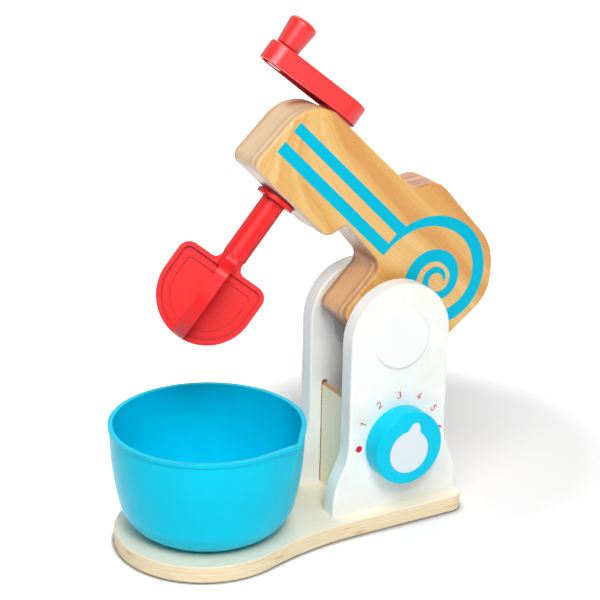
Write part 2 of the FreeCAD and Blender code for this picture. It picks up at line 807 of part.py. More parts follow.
def stop_pin():
    body = new_body("stop_pin", 0, 0, dim.pivot_height, head_turns)
    tip = cheek_inner + dim.stop_groove_depth - dim.stop_floor_clearance
    root_y = dim.stop_pin_hold - dim.head_thickness / 2
    cylinder(body, "pin", dim.stop_pin_radius, root_y + tip, pin_x, root_y, pin_z, [("x", 90)])


def pivot_bolt():
    body = new_body("pivot_bolt", 0, -cheek_outer, dim.pivot_height, [("x", 90)])
    floor = -dim.recess_depth
    far_end = 2 * cheek_outer - dim.recess_depth + dim.pivot_nut_height + dim.bolt_spare_thread
    hexagon(body, "hex_head", dim.hex_across_flats, dim.bolt_head_height, floor)
    cylinder(body, "shank", dim.pivot_bolt_radius, far_end + floor, 0, 0, -far_end)


def pivot_nut():
    body = new_body("pivot_nut", 0, cheek_outer, dim.pivot_height, [("x", -90)])
    hexagon(body, "hex_nut", dim.hex_across_flats, dim.pivot_nut_height, -dim.recess_depth)
    cylinder(body, "thread_hole", dim.pivot_bolt_radius + dim.thread_clearance, dim.pivot_nut_height,
             0, 0, -dim.recess_depth, cut=True)


def pivot_cap(name, near):
    """A white cap over the bolt's end, held by its spigot in the cheek's recess."""
    y, turn = (-cheek_outer, 90) if near else (cheek_outer, -90)
    body = new_body(name, 0, y, dim.pivot_height, [("x", turn)])
    spigot = dim.recess_radius - dim.cap_spigot_clearance
    cup = spigot - dim.cap_spigot_wall
    revolve(body, "cap", [line(0, 0), line(cup, 0), line(cup, -dim.cap_spigot_length),
                          line(spigot, -dim.cap_spigot_length), line(spigot, 0), line(dim.cap_radius, 0),
                          line(dim.cap_radius, dim.cap_proud - dim.cap_bevel),
                          line(dim.cap_radius - dim.cap_bevel, dim.cap_proud), line(0, dim.cap_proud)])


def friction_disc(name, near):
    """A thin disc between a cheek and the head."""
    y, turn = (-cheek_inner, -90) if near else (cheek_inner, 90)
    body = new_body(name, 0, y, dim.pivot_height, [("x", turn)])
    thickness = (dim.cheek_gap - dim.head_thickness) / 2 - dim.disc_running_clearance
    bore = dim.pivot_bolt_radius + dim.pivot_hole_clearance
    revolve(body, "disc", ring_profile(bore, dim.disc_radius, 0, thickness))


# Spindle

def bush(name, seat, inwards, flange_radius, flange_thickness):
    """A flanged bush in the head. Inwards is 1 where its barrel points up and -1 where it points down."""
    body = new_body(name, spindle_x, 0, spindle_z, spindle_turns)
    bore = dim.tube_radius + dim.bush_running_clearance
    rim = seat - inwards * flange_thickness
    tip = seat + inwards * dim.bush_length
    revolve(body, "bush", [line(bore, rim), line(flange_radius, rim), line(flange_radius, seat),
                           line(dim.bush_radius, seat), line(dim.bush_radius, tip), line(bore, tip)])


def square_outline(side):
    return box_outline(-side / 2, side / 2, -side / 2, side / 2)


def drive_tube():
    """A round tube with a square on each end, one for the crank and one for the beater."""
    body = new_body("drive_tube", spindle_x, 0, spindle_z, crank_turns)
    low_end = collar_top - dim.lower_square_length
    high_end = crank_base + dim.upper_square_length
    cylinder(body, "round", dim.tube_radius, crank_base - collar_top, z=collar_top)
    square = square_outline(dim.square_side)
    pad(body, "upper_square", outline_sketch(body, "upper_square_outline", "XY_Plane", crank_base, square),
        dim.upper_square_length)
    turned = new_sketch(body, "lower_square_outline", "XY_Plane", low_end)
    bind(turned, "AttachmentOffset.Rotation.Angle", dim.crank_turn - dim.beater_turn)
    add_outline(turned, square)
    pad(body, "lower_square", turned, dim.lower_square_length)
    cylinder(body, "bolt_bore", dim.tube_bore_radius, high_end - low_end, z=low_end, cut=True)


def spindle_bolt():
    body = new_body("spindle_bolt", spindle_x, 0, spindle_z, crank_turns)
    low_end = lower_socket_floor - dim.spindle_bolt_grip
    cylinder(body, "shank", dim.spindle_bolt_radius, crank_recess_floor - low_end, z=low_end)
    head = dim.spindle_bolt_head_radius
    cylinder(body, "head", head, dim.spindle_bolt_head_height, z=crank_recess_floor)


def crank_outline(inset=0):
    """Two round ends joined by tangents, drawn smaller by an inset."""
    hub, tip, length = dim.crank_hub_radius - inset, dim.crank_tip_radius - inset, dim.crank_length
    slope = (dim.crank_hub_radius - dim.crank_tip_radius) / length
    rise = other_leg(as_size(1), slope)
    return [arc(-hub * slope, hub * rise, 0, 0),
            line(-length - tip * slope, tip * rise),
            arc(-length - tip * slope, -tip * rise, -length, 0),
            line(-hub * slope, -hub * rise)]


def crank_arm():
    body = new_body("crank_arm", spindle_x, 0, spindle_z, crank_turns)
    pad(body, "arm", outline_sketch(body, "arm_outline", "XY_Plane", crank_base, crank_outline()),
        dim.crank_height)
    round_edges(body, "rounded_top", dim.crank_edge_rounding,
                lambda edge: edge_lies_at(edge, "Z", crank_top))
    hollow = outline_sketch(body, "hollow_outline", "XY_Plane", crank_base, crank_outline(dim.crank_wall))
    pocket(body, "hollow", hollow, dim.crank_height - dim.crank_roof, reverse=True)
    inside = dim.crank_height - dim.crank_roof / 2
    cylinder(body, "hub_boss", dim.hub_boss_radius, inside, z=crank_base)
    cylinder(body, "tip_boss", dim.tip_boss_radius, inside, -dim.crank_length, 0, crank_base)
    rib_base = crank_base + dim.rib_setback
    half = dim.rib_thickness / 2
    long_rib = box_outline(-dim.crank_length - dim.crank_tip_radius + dim.crank_wall / 2,
                           dim.crank_hub_radius - dim.crank_wall / 2, -half, half)
    pad(body, "long_rib", outline_sketch(body, "long_rib_outline", "XY_Plane", rib_base, long_rib),
        inside - dim.rib_setback)
    for name, x, reach in (("hub_rib", as_size(0), dim.crank_hub_radius),
                           ("tip_rib", -dim.crank_length, dim.crank_tip_radius)):
        cross = reach - dim.crank_wall / 2
        rib = box_outline(x - half, x + half, -cross, cross)
        pad(body, name, outline_sketch(body, f"{name}_outline", "XY_Plane", rib_base, rib),
            inside - dim.rib_setback)
    socket = outline_sketch(body, "socket_outline", "XY_Plane", crank_base, square_outline(socket_side))
    pocket(body, "socket", socket, upper_socket_top - crank_base, reverse=True)
    cylinder(body, "bolt_hole", dim.spindle_bolt_radius + dim.crank_bolt_hole_clearance, dim.crank_height,
             z=crank_base, cut=True)
    cylinder(body, "bolt_recess", dim.crank_recess_radius, crank_top - crank_recess_floor,
             z=crank_recess_floor, cut=True)
    thread = dim.grip_screw_thread_length + dim.blind_end_clearance
    cylinder(body, "grip_thread_hole", dim.grip_screw_thread_radius + dim.thread_clearance, thread,
             -dim.crank_length, 0, crank_top - thread, cut=True)


def plug(name, frame, recess_radius, top, thickness):
    """A round plug, flush with the top of the recess that it closes."""
    body = new_body(name, *frame)
    cylinder(body, "plug", recess_radius - dim.plug_clearance, thickness, z=top - thickness)


def crank_grip():
    """A tapered grip with a bore for its screw and a recess for the screw's head."""
    body = new_body("crank_grip", *grip_frame)
    bore = dim.grip_screw_shoulder_radius + dim.grip_running_clearance
    floor = grip_top - dim.grip_recess_depth
    revolve(body, "grip", [line(bore, grip_base),
                           line(dim.grip_base_radius, grip_base, dim.grip_base_rounding),
                           line(dim.grip_top_radius, grip_top, dim.grip_top_rounding),
                           line(dim.grip_recess_radius, grip_top),
                           line(dim.grip_recess_radius, floor), line(bore, floor)])


def grip_screw():
    body = new_body("grip_screw", *grip_frame)
    floor = grip_top - dim.grip_recess_depth + dim.grip_screw_head_clearance
    length = dim.grip_screw_thread_length
    cylinder(body, "shoulder", dim.grip_screw_shoulder_radius, floor - crank_top, z=crank_top)
    cylinder(body, "head", dim.grip_screw_head_radius, dim.grip_screw_head_height, z=floor)
    cylinder(body, "thread", dim.grip_screw_thread_radius, length, z=crank_top - length)


# Beater

def spade(inset, corner_radius):
    """A paddle's outline, drawn smaller by an inset: square shoulders and a round foot."""
    half, level = dim.paddle_half_width - inset, -dim.paddle_round_level
    shoulder = -dim.shoulder_level - inset
    return [arc(0, level - half, 0, level), arc(half, level, 0, level),
            line(half, shoulder, corner_radius), line(-half, shoulder, corner_radius), line(-half, level)]


def spade_with_neck():
    """The whole outline, which runs up into the shaft through two fillets."""
    half, level = dim.paddle_half_width, -dim.paddle_round_level
    neck, shoulder, corner = dim.beater_neck_radius, -dim.shoulder_level, dim.paddle_corner_radius
    return [arc(0, level - half, 0, level), arc(half, level, 0, level),
            line(half, shoulder, corner), line(neck, shoulder, dim.shoulder_fillet),
            line(neck, -dim.beater_neck_level), line(-neck, -dim.beater_neck_level),
            line(-neck, shoulder, dim.shoulder_fillet), line(-half, shoulder, corner), line(-half, level)]


def beater():
    body = new_body("beater", spindle_x, 0, spindle_z, beater_turns)
    width, step = dim.paddle_rim_width, dim.paddle_step_inset
    web = outline_sketch(body, "web_outline", "XZ_Plane", 0, spade_with_neck())
    stepped = outline_sketch(body, "step_outline", "XZ_Plane", 0, spade_with_neck(),
                             spade(step, dim.paddle_step_radius))
    rim = outline_sketch(body, "rim_outline", "XZ_Plane", 0, spade_with_neck(),
                         spade(width, dim.paddle_corner_radius - width))
    layers = [pad(body, "web", web, dim.paddle_web_thickness, both_ways=True),
              pad(body, "step", stepped, dim.paddle_step_thickness, both_ways=True),
              pad(body, "rim", rim, dim.paddle_rim_thickness, both_ways=True)]
    cross = body.newObject("PartDesign::PolarPattern", "crossed_paddles")
    cross.Originals = layers
    cross.Axis = (origin_item(body, "Z_Axis"), [""])
    cross.Angle = 90
    cross.Occurrences = 2
    body.Tip = cross
    cylinder(body, "neck", dim.beater_neck_radius, dim.shoulder_level + width - dim.beater_neck_level,
             z=-dim.shoulder_level - width)
    collar_base = collar_top - dim.collar_thickness
    cylinder(body, "shaft", dim.beater_shaft_radius, collar_base + dim.beater_neck_level,
             z=-dim.beater_neck_level)
    cylinder(body, "collar", dim.collar_radius, dim.collar_thickness, z=collar_base)
    socket = outline_sketch(body, "socket_outline", "XY_Plane", collar_top, square_outline(socket_side))
    pocket(body, "socket", socket, collar_top - lower_socket_floor)
    cylinder(body, "thread_hole", dim.spindle_bolt_radius + dim.thread_clearance,
             dim.spindle_bolt_grip + dim.blind_end_clearance,
             z=lower_socket_floor - dim.spindle_bolt_grip - dim.blind_end_clearance, cut=True)


# Control knob

def pointer_outline(grow=0):
    """A disc set back from the knob's axis, with a tapered tip along +X, drawn larger by an allowance."""
    disc, tip = dim.pointer_disc_radius + grow, dim.pointer_tip_radius + grow
    lean, rise = sine(dim.pointer_half_angle), cosine(dim.pointer_half_angle)
    disc_x = -dim.pointer_setback
    tip_run = dim.pointer_reach - dim.pointer_tip_radius
    tip_x = disc_x + tip_run
    # Each flank starts on the disc's circle and touches the tip's.
    away = tip_run * lean + tip
    run = other_leg(disc, away)
    root_x, root_y = disc_x + away * lean + run * rise, away * rise - run * lean
    touch_x, touch_y = tip_x + tip * lean, tip * rise
    return [arc(touch_x, touch_y, tip_x, 0), line(root_x, root_y),
            arc(root_x, -root_y, disc_x, 0), line(touch_x, -touch_y)]


def control_knob():
    body = new_body("control_knob", *knob_frame)
    back, front = dim.knob_gap, dim.knob_depth
    hollow = back + dim.knob_hollow_depth
    revolve(body, "knob", [line(0, back), line(dim.knob_boss_radius, back),
                           line(dim.knob_boss_radius, hollow), line(dim.knob_hollow_radius, hollow),
                           line(dim.knob_hollow_radius, back),
                           line(dim.knob_radius, back, dim.knob_back_rounding),
                           line(dim.knob_radius, front, dim.knob_front_rounding), line(0, front)])
    recess_steps = pointer_outline(dim.pointer_clearance)
    recess = outline_sketch(body, "recess_outline", "XY_Plane", front, recess_steps)
    pocket(body, "pointer_recess", recess, dim.pointer_recess_depth)
    head_room = dim.knob_bolt_head_height + dim.pointer_clearance
    hexagon(body, "head_recess", dim.knob_bolt_across_flats + 2 * dim.pointer_clearance, head_room,
            knob_recess_floor - head_room, cut=True)
    cylinder(body, "bolt_hole", dim.knob_bolt_radius + dim.thread_clearance, front - back, z=back, cut=True)


def pointer_disc():
    body = new_body("pointer_disc", *knob_frame)
    outline = outline_sketch(body, "outline", "XY_Plane", knob_recess_floor, pointer_outline())
    pad(body, "disc", outline, dim.pointer_recess_depth + dim.pointer_proud)


def knob_bolt():
    body = new_body("knob_bolt", *knob_frame)
    head_base = knob_recess_floor - dim.knob_bolt_head_height - dim.pointer_clearance
    low_end = -dim.cheek_thickness - dim.knob_washer_thickness - dim.knob_nut_height - dim.bolt_spare_thread
    hexagon(body, "head", dim.knob_bolt_across_flats, dim.knob_bolt_head_height, head_base)
    cylinder(body, "shank", dim.knob_bolt_radius, head_base - low_end, z=low_end)


def knob_washer():
    body = new_body("knob_washer", *knob_frame)
    bore = dim.knob_bolt_radius + dim.pivot_hole_clearance
    base = -dim.cheek_thickness - dim.knob_washer_thickness
    revolve(body, "washer", ring_profile(bore, dim.knob_washer_radius, base, -dim.cheek_thickness))


def knob_nut():
    body = new_body("knob_nut", *knob_frame)
    base = -dim.cheek_thickness - dim.knob_washer_thickness - dim.knob_nut_height
    hexagon(body, "nut", dim.knob_bolt_across_flats, dim.knob_nut_height, base)
    cylinder(body, "thread_hole", dim.knob_bolt_radius + dim.thread_clearance, dim.knob_nut_height,
             z=base, cut=True)


# Mixing bowl

def bowl_side(inset):
    """The side's curves, drawn inwards by an inset: foot, bend, long arc and top, with their centres."""
    top_angle, foot_angle = dim.bowl_top_draft, dim.bowl_foot_draft
    side_radius = dim.bowl_wall_radius
    top_r = dim.bowl_rim_radius - dim.bowl_bead_width
    top_z = dim.bowl_height - dim.bowl_bead_height
    centre_r = top_r - side_radius * cosine(top_angle)
    centre_z = top_z - side_radius * sine(top_angle)
    bend_r = centre_r + side_radius * cosine(foot_angle)
    bend_z = centre_z - side_radius * sine(foot_angle)
    bend_radius = bend_z / (1 - sine(foot_angle))
    foot_r = bend_r - bend_radius * cosine(foot_angle)
    ring, low_ring = side_radius - inset, bend_radius - inset
    return SimpleNamespace(
        foot=(foot_r, as_size(inset)), bend_centre=(foot_r, bend_radius),
        bend=(centre_r + ring * cosine(foot_angle), centre_z - ring * sine(foot_angle)),
        side_centre=(centre_r, centre_z), side_ring=ring,
        top=(centre_r + ring * cosine(top_angle), top_z), low_ring=low_ring)


def bowl_profile(side, top):
    """Half of the bowl's section, up to a level above its side."""
    return [line(0, side.foot[1]), line(*side.foot), arc(*side.bend, *side.bend_centre),
            arc(*side.top, *side.side_centre), line(side.top[0], top), line(0, top)]


def lip_outline(radius, nose_radius):
    """Two tangents from a circle that meet in a rounded nose along +X."""
    c, s = cosine(dim.lip_half_angle), sine(dim.lip_half_angle)
    nose_x = (radius - nose_radius) / c
    return [line(radius * c, -radius * s),
            line(nose_x + nose_radius * c, -nose_radius * s),
            arc(nose_x + nose_radius * c, nose_radius * s, nose_x, 0),
            line(radius * c, radius * s)]


def lip_radius_at(tip, nose_radius):
    """The circle whose lip reaches just to a tip."""
    c = cosine(dim.lip_half_angle)
    return tip * c + nose_radius * (1 - c)


def lip_loft(body, name, inset, kind):
    """The pouring lip, which fades into the side below it."""
    side = bowl_side(inset)
    low_z = dim.bowl_height - dim.lip_depth
    tip = side.side_centre[0] + other_leg(side.side_ring, side.side_centre[1] - low_z)
    nose = dim.lip_nose_radius - inset
    low_steps, high_steps = lip_outline(lip_radius_at(tip, nose), nose), lip_outline(side.top[0], nose)
    low = outline_sketch(body, f"{name}_foot", "XY_Plane", low_z, low_steps)
    high = outline_sketch(body, f"{name}_top", "XY_Plane", dim.bowl_height, high_steps)
    loft = body.newObject(f"PartDesign::{kind}Loft", name)
    loft.Profile = low
    loft.Sections = [high]
    loft.Ruled = True
    return loft


def mixing_bowl():
    body = new_body("mixing_bowl", -dim.bowl_reach, 0, dim.board_thickness, [("z", -dim.lip_azimuth)])
    bead_base = dim.bowl_height - dim.bowl_bead_height
    revolve(body, "outside", bowl_profile(bowl_side(0), dim.bowl_height))
    lip_loft(body, "lip", 0, "Additive")
    bead = new_sketch(body, "bead_outline", "XY_Plane", bead_base)
    add_circle(bead, 0, 0, dim.bowl_rim_radius)
    pad(body, "bead", bead, dim.bowl_bead_height)
    lip_bead = lip_outline(dim.bowl_rim_radius, dim.lip_nose_radius)
    pad(body, "lip_bead", outline_sketch(body, "lip_bead_outline", "XY_Plane", bead_base, lip_bead),
        dim.bowl_bead_height)
    groove(body, "inside", bowl_profile(bowl_side(dim.bowl_wall), dim.bowl_height))
    lip_loft(body, "lip_inside", dim.bowl_wall, "Subtractive")


grip_top = grip_base + dim.grip_height
knob_recess_floor = dim.knob_depth - dim.pointer_recess_depth
spindle_frame = (spindle_x, 0, spindle_z, crank_turns)
grip_frame = (grip_x, grip_y, grip_z, crank_turns)
knob_frame = (0, -cheek_outer, dim.knob_height, [("x", 90), ("z", dim.pointer_angle)])


def build():
    base_board()
    cheek("near_cheek", near=True)
    cheek("far_cheek", near=False)
    panel("front_panel", rear=False)
    panel("rear_panel", rear=True)
    base_screws()
    pivot_bolt()
    pivot_nut()
    pivot_cap("near_pivot_cap", near=True)
    pivot_cap("far_pivot_cap", near=False)
    friction_disc("near_friction_disc", near=True)
    friction_disc("far_friction_disc", near=False)
    head_block()
    pivot_sleeve()
    stop_pin()
    bush("upper_bush", upper_seat, -1, dim.upper_flange_radius, dim.upper_flange_thickness)
    bush("lower_bush", lower_seat, 1, dim.lower_flange_radius, dim.lower_flange_thickness)
    drive_tube()
    spindle_bolt()
    crank_arm()
    plug("crank_plug", spindle_frame, dim.crank_recess_radius, crank_top, dim.crank_plug_thickness)
    crank_grip()
    grip_screw()
    plug("grip_plug", grip_frame, dim.grip_recess_radius, grip_top, dim.grip_plug_thickness)
    beater()
    control_knob()
    pointer_disc()
    knob_bolt()
    knob_washer()
    knob_nut()
    mixing_bowl()
    doc.recompute()


def check():
    """Stop where any object failed or any piece is not sound."""
    faults = [item.Label for item in doc.Objects if {"Invalid", "Error"} & set(item.State)]
    for body in parts:
        if body.Shape.isNull() or not body.Shape.isValid() or not body.Shape.Solids:
            faults.append(body.Label)
    if faults:
        raise RuntimeError("not sound: " + ", ".join(faults))


def export():
    os.makedirs("parts", exist_ok=True)
    for body in parts:
        body.Shape.exportStep(os.path.join("parts", f"{body.Label}.step"))
        box = body.Shape.BoundBox
        print(f"{body.Label}: {len(body.Shape.Solids)} solid, {body.Shape.Volume:.0f} mm3, "
              f"x {box.XMin:.1f} to {box.XMax:.1f}, y {box.YMin:.1f} to {box.YMax:.1f}, "
              f"z {box.ZMin:.1f} to {box.ZMax:.1f}")


build()
check()
export()
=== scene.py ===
import json
import math

import bmesh
import bpy
from mathutils import Matrix, Vector

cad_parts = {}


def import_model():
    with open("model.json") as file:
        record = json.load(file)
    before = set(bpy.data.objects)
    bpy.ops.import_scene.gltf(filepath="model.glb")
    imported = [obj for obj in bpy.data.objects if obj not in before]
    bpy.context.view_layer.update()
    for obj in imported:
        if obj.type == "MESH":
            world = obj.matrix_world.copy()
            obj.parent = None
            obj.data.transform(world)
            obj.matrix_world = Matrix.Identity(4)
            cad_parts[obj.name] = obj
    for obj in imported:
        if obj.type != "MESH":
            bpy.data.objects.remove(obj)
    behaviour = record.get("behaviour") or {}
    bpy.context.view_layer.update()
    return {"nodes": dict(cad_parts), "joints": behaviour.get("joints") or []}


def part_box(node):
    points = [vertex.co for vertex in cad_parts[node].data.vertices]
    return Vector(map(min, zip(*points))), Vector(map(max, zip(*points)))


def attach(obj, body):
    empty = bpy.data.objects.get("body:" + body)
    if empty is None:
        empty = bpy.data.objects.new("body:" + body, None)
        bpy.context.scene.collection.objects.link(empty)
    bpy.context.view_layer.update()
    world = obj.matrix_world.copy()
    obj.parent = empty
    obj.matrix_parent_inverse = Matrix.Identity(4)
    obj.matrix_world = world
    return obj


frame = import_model()

MM = 0.001


# Colours

def srgb(red, green, blue):
    """Linear colour, with alpha, of an sRGB colour given as 0 to 255."""
    def linear(level):
        level /= 255
        return level / 12.92 if level <= 0.04045 else ((level + 0.055) / 1.055) ** 2.4
    return (linear(red), linear(green), linear(blue), 1.0)


def grey(level):
    return (level, level, level, 1)


# The last of these colours is painted shade, laid into the red plastic's creases.
RED, RED_SHADE, RED_PAINTED_CREASE_SHADE = srgb(228, 26, 28), srgb(220, 20, 28), srgb(168, 0, 22)
CYAN, CYAN_SHADE = srgb(0, 206, 237), srgb(0, 197, 230)
PRINT_CYAN, PRINT_CYAN_WORN = srgb(0, 184, 215), srgb(20, 196, 224)
NUMERAL_RED, NUMERAL_RED_WORN = srgb(224, 38, 62), srgb(226, 70, 92)


# Places

pivot = Vector(next(joint["pos_m"] for joint in frame["joints"] if joint["name"] == "head_tilt"))
cheek_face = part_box("near_cheek")[0].y
cheek_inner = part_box("far_cheek")[0].y
head_half_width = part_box("head_block")[1].y
board_low, board_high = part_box("base_board")

# The ring of numerals is printed a little off the knob's centre, as in the photograph.
DIAL_OFFSET = Vector((0.5, 0, 0.4))
dial_centre = sum(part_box("control_knob"), Vector()) / 2 + DIAL_OFFSET * MM

# The head is drawn level, forward and up from its pivot, and then tipped back.
HEAD_TILT = math.radians(45)
head_forward = Vector((-math.cos(HEAD_TILT), 0, math.sin(HEAD_TILT)))
head_up = Vector((math.sin(HEAD_TILT), 0, math.cos(HEAD_TILT)))


def on_head(forward, up, across):
    """The place in the row frame of a point given in the head's own millimetres."""
    return pivot + (head_forward * forward + head_up * up + Vector((0, across, 0))) * MM


# Node graphs

class Graph:
    """A material whose nodes are added one call at a time. Lengths in it are millimetres."""

    def __init__(self, name, roughness=0.4, **fixed):
        self.material = bpy.data.materials.new(name)
        self.material.use_nodes = True
        self.nodes = self.material.node_tree.nodes
        self.links = self.material.node_tree.links
        self.shader = self.nodes["Principled BSDF"]
        self.shader.inputs["Roughness"].default_value = roughness
        for socket, value in fixed.items():
            self.shader.inputs[socket.replace("_", " ")].default_value = value
        coordinates = self.node("TexCoord")
        self.normal = coordinates.outputs["Normal"]
        self.point = self.vector("SCALE", coordinates.outputs["Object"], Scale=1 / MM)

    def node(self, kind, settings=(), **inputs):
        made = self.nodes.new("ShaderNode" + kind)
        for key, value in dict(settings).items():
            setattr(made, key, value)
        for key, value in inputs.items():
            self.feed(made.inputs[key.replace("_", " ")], value)
        return made

    def feed(self, socket, value):
        """Link an output to a socket, or give the socket a fixed value."""
        if isinstance(value, bpy.types.NodeSocket):
            self.links.new(value, socket)
        else:
            socket.default_value = value

    def math(self, operation, first, second=0.0, clamp=False):
        node = self.node("Math", {"operation": operation, "use_clamp": clamp})
        self.feed(node.inputs[0], first)
        self.feed(node.inputs[1], second)
        return node.outputs[0]

    def plus(self, first, second, clamp=False):
        return self.math("ADD", first, second, clamp)

    def minus(self, first, second):
        return self.math("SUBTRACT", first, second)

    def times(self, first, *others):
        for other in others:
            first = self.math("MULTIPLY", first, other)
        return first

    def unsigned(self, value):
        return self.math("ABSOLUTE", value)

    def about_zero(self, value, span):
        """A value from 0 to 1 spread over a span with its middle at zero."""
        return self.times(self.minus(value, 0.5), span)

    def vector(self, operation, first, second=None, **inputs):
        node = self.node("VectorMath", {"operation": operation}, **inputs)
        self.feed(node.inputs[0], first)
        if second is not None:
            self.feed(node.inputs[1], second)
        return node.outputs["Value" if operation in ("DOT_PRODUCT", "LENGTH") else "Vector"]

    def along(self, vector, direction):
        return self.vector("DOT_PRODUCT", vector, direction)

    def split(self, vector):
        return self.node("SeparateXYZ", Vector=vector).outputs

    def noise(self, vector, scale, detail=2.0, roughness=0.5, distortion=0.0):
        """Noise at one scale, or at a scale for each axis, in waves per millimetre."""
        if isinstance(scale, tuple):
            vector, scale = self.vector("MULTIPLY", vector, scale), 1.0
        node = self.node("TexNoise", Vector=vector, Scale=scale, Detail=detail,
                         Roughness=roughness, Distortion=distortion)
        return node.outputs["Fac"]

    def noise_along(self, value, scale, detail=2.0):
        node = self.node("TexNoise", {"noise_dimensions": "1D"}, W=value, Scale=scale, Detail=detail)
        return node.outputs["Fac"]

    def rise(self, value, low, high, bottom=0.0, top=1.0):
        """A smooth step from bottom to top as the value goes from low to high."""
        node = self.node("MapRange", {"interpolation_type": "SMOOTHSTEP"}, Value=value,
                         From_Min=low, From_Max=high, To_Min=bottom, To_Max=top)
        return node.outputs[0]

    def line(self, value, place, width):
        """One at the place, falling to nothing half a width away."""
        return self.rise(self.unsigned(self.minus(value, place)), width / 2, 0.0)

    def mix(self, share, first, second):
        node = self.node("Mix", {"data_type": "RGBA"})
        self.feed(node.inputs[0], share)
        self.feed(node.inputs[6], first)
        self.feed(node.inputs[7], second)
        return node.outputs[2]

    def ramp(self, value, *stops):
        node = self.node("ValToRGB", Fac=value)
        elements = node.color_ramp.elements
        while len(elements) < len(stops):
            elements.new(0.5)
        for element, (position, colour) in zip(elements, stops):
            element.position = position
            element.color = colour
        return node.outputs[0]

    def openness(self, reach):
        """One in the open, less in a crease or beside a wall within reach."""
        return self.node("AmbientOcclusion", {"samples": 6}, Distance=reach * MM).outputs["AO"]

    def colour(self, socket):
        self.feed(self.shader.inputs["Base Color"], socket)

    def rough(self, socket):
        self.feed(self.shader.inputs["Roughness"], socket)

    def relief(self, height, depth, edge=None):
        """Bump the surface by a height from 0 to 1 that is depth millimetres high."""
        bump = self.node("Bump", Height=height, Strength=1.0, Distance=depth * MM)
        if edge:
            soft_edge = self.node("Bevel", {"samples": 4}, Radius=edge * MM)
            self.feed(bump.inputs["Normal"], soft_edge.outputs[0])
        self.feed(self.shader.inputs["Normal"], bump.outputs[0])


def head_axes(graph):
    """Distances forward, across and up from the pivot in the level head, and all three together."""
    from_pivot = graph.vector("SUBTRACT", graph.point, pivot / MM)
    forward, up = graph.along(from_pivot, head_forward), graph.along(from_pivot, head_up)
    across = graph.split(from_pivot)[1]
    return forward, across, up, graph.node("CombineXYZ", X=forward, Y=across, Z=up).outputs[0]


# Wood

# Where the head's figure changes, in its own millimetres. A pair is the start and the end of a change.
RINGS_OPEN_AT, RINGS_OPEN_OVER, RINGS_OPEN_LIMIT, RINGS_OPEN_BY = 138, 15, 2.5, 22
RING_SWAY, RING_LEAN = 26, 0.45
HEARTWOOD = (43, 53)
PINK_BOTTOM = (40, 72)
PALE_NOSE = (60, 100)
BROW_UP, BROW_BACK = (60, 66), (90, 75)
STREAK_ACROSS, STREAK_WIDTH, STREAK_SWAY = 6, 20, 14
STREAK_START = (104, 116)


def pine():
    graph = Graph("pine_lacquered", roughness=0.42, Coat_Weight=0.12, Coat_Roughness=0.28)
    forward, across, up, wood = head_axes(graph)
    fine_ring, fibre, side = pine_side(graph, forward, across, up, wood)
    wander = graph.noise(wood, (0.03, 0.05, 0.03))
    ahead, upward = graph.along(graph.normal, head_forward), graph.along(graph.normal, head_up)

    # The planed top is like the sides, and the bottom is pinkish, browner behind.
    bottom = graph.mix(graph.rise(forward, *PINK_BOTTOM), srgb(172, 118, 84), srgb(220, 194, 174))
    planed = graph.mix(graph.rise(upward, -0.2, 0.2), bottom, side)
    end = pine_end(graph, forward, across, up, wood, wander, ahead)
    edge = graph.mix(graph.rise(graph.unsigned(ahead), 0.3, 0.85), planed, end)

    # A red streak of heartwood runs back over the top of the nose.
    swaying = graph.plus(across, graph.about_zero(wander, STREAK_SWAY))
    streak = graph.times(graph.line(swaying, STREAK_ACROSS, STREAK_WIDTH),
                         graph.rise(forward, *STREAK_START), graph.rise(upward, 0.3, 0.6))
    edge = graph.mix(streak, edge, srgb(172, 88, 50))

    flat = graph.unsigned(graph.split(graph.normal)[1])
    graph.colour(graph.mix(graph.rise(flat, 0.84, 0.93), edge, side))
    grain = graph.plus(graph.times(fibre, 0.7), graph.times(fine_ring, 0.3))
    graph.rough(graph.rise(grain, 0.3, 0.7, 0.36, 0.5))
    graph.relief(grain, 0.035, edge=0.5)
    return graph.material


def pine_side(graph, forward, across, up, wood):
    """The rings cut lengthwise: they run back from the nose and open out near its top."""
    opening = graph.math("DIVIDE", graph.minus(forward, RINGS_OPEN_AT), RINGS_OPEN_OVER)
    opening = graph.math("MINIMUM", graph.math("EXPONENT", opening), RINGS_OPEN_LIMIT)
    opening = graph.times(opening, -RINGS_OPEN_BY)
    sway = graph.about_zero(graph.noise(wood, (0.012, 0.03, 0.028)), RING_SWAY)
    ring = graph.plus(graph.plus(up, opening), graph.plus(sway, graph.times(across, RING_LEAN)))

    band = graph.about_zero(graph.noise_along(ring, 0.085, 1.0), 1.45)
    heart = graph.rise(ring, *HEARTWOOD, 0.0, 0.34)
    tone = graph.plus(graph.plus(band, heart), 0.34, clamp=True)
    side = graph.ramp(tone, (0.0, srgb(234, 196, 130)), (0.35, srgb(226, 179, 102)),
                      (0.62, srgb(218, 160, 80)), (1.0, srgb(202, 134, 60)))

    fine_ring = graph.noise_along(ring, 0.9, 3.0)
    side = graph.mix(graph.rise(fine_ring, 0.5, 0.76, 0.0, 0.5), side, srgb(206, 146, 76))
    fibre = graph.noise(wood, (0.05, 2.2, 2.2), 4.0, 0.6)
    side = graph.mix(graph.rise(fibre, 0.5, 0.78, 0.0, 0.4), side, srgb(206, 146, 80))
    side = graph.mix(graph.rise(fibre, 0.46, 0.22, 0.0, 0.35), side, srgb(250, 226, 178))
    pore = graph.noise(wood, (0.22, 3.6, 3.6), 1.0)
    side = graph.mix(graph.rise(pore, 0.69, 0.76, 0.0, 0.4), side, srgb(178, 118, 62))
    return fine_ring, fibre, side


